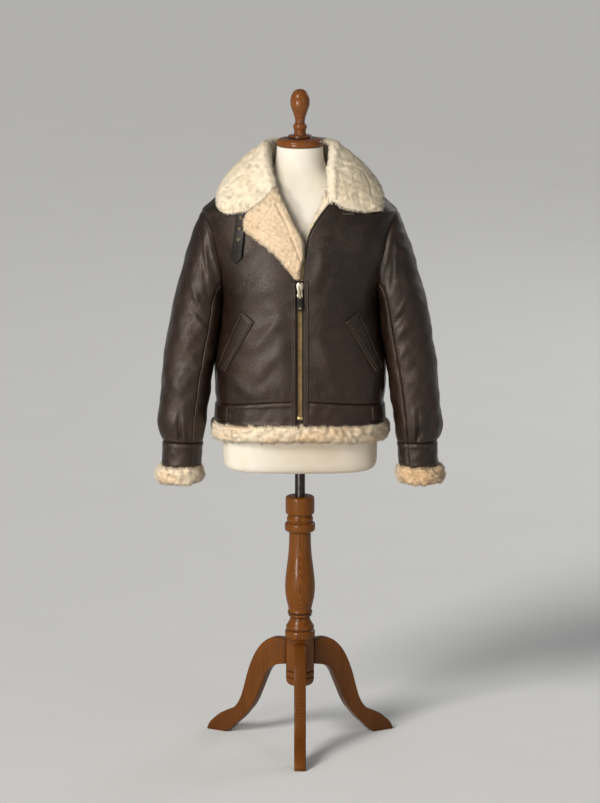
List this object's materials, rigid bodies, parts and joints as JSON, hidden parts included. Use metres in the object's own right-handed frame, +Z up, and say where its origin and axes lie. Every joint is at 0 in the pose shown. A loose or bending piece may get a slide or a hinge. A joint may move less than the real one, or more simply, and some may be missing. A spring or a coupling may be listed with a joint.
{
  "type": "shearling coat on dress form stand",
  "caption": "Short leather shearling coat with a wide fur collar, shown on a limbless dress form over a turned wooden column on three legs.",
  "frame": {"origin": "centre of the bounding box at floor level, 57.3 mm in front of the pole's axis", "axes": "+Z up along the pole, the coat's front towards -Y, the wearer's left at +X"},
  "size_m": [0.709, 0.4096, 1.628],
  "materials": {
    "leather_brown": "soft sheen, grained",
    "leather_black": "soft sheen",
    "wool_cream": "clipped sheep's wool",
    "cloth_ivory": "plain weave, taut",
    "wood_oak": "varnished",
    "wood_red": "varnished",
    "brass": "aged",
    "steel_dark": "dark"
  },
  "bodies": {
    "stand": {"column": "wood_oak", "leg_front": "wood_oak", "leg_left": "wood_oak", "leg_right": "wood_oak"},
    "mast": {"pole": "steel_dark"},
    "form": {"form_torso": "cloth_ivory", "neck_cap": "wood_red", "finial": "wood_red", "back": "leather_brown", "front_left": "leather_brown", "front_right": "leather_brown", "waistband_back": "leather_brown", "waistband_left": "leather_brown", "waistband_right": "leather_brown", "hem_fur_left": "wool_cream", "hem_fur_right": "wool_cream", "sleeve_upper_left": "leather_brown", "sleeve_upper_right": "leather_brown", "sleeve_under_left": "leather_brown", "sleeve_under_right": "leather_brown", "cuff_left": "leather_brown", "cuff_right": "leather_brown", "cuff_fur_left": "wool_cream", "cuff_fur_right": "wool_cream", "collar": "wool_cream", "lapel_right": "wool_cream", "facing_left": "wool_cream", "placket_left": "leather_brown", "placket_right": "leather_brown", "pocket_welt_left": "leather_brown", "pocket_welt_right": "leather_brown", "throat_strap": "leather_black", "throat_buckle": "brass", "waist_tab_left": "leather_brown", "waist_tab_right": "leather_brown", "zip_chain": "brass", "zip_edge_left": "brass", "zip_slider": "brass"},
    "pull": {"pull_tab": "leather_black"}
  },
  "joints": [
    {"name": "mast_height", "type": "slide", "parent": "stand", "child": "mast", "axis": [0, 0, 1], "range_m": [-0.06, 0.15]},
    {"name": "form_turn", "type": "hinge", "parent": "mast", "child": "form", "pos_m": [0, 0.0573, 0.78], "axis": [0, 0, 1], "continuous": true},
    {"name": "pull_swing", "type": "hinge", "parent": "form", "child": "pull", "pos_m": [0, -0.1021, 1.149], "axis": [-1, 0, 0], "range_deg": [-8, 120]}
  ]
}
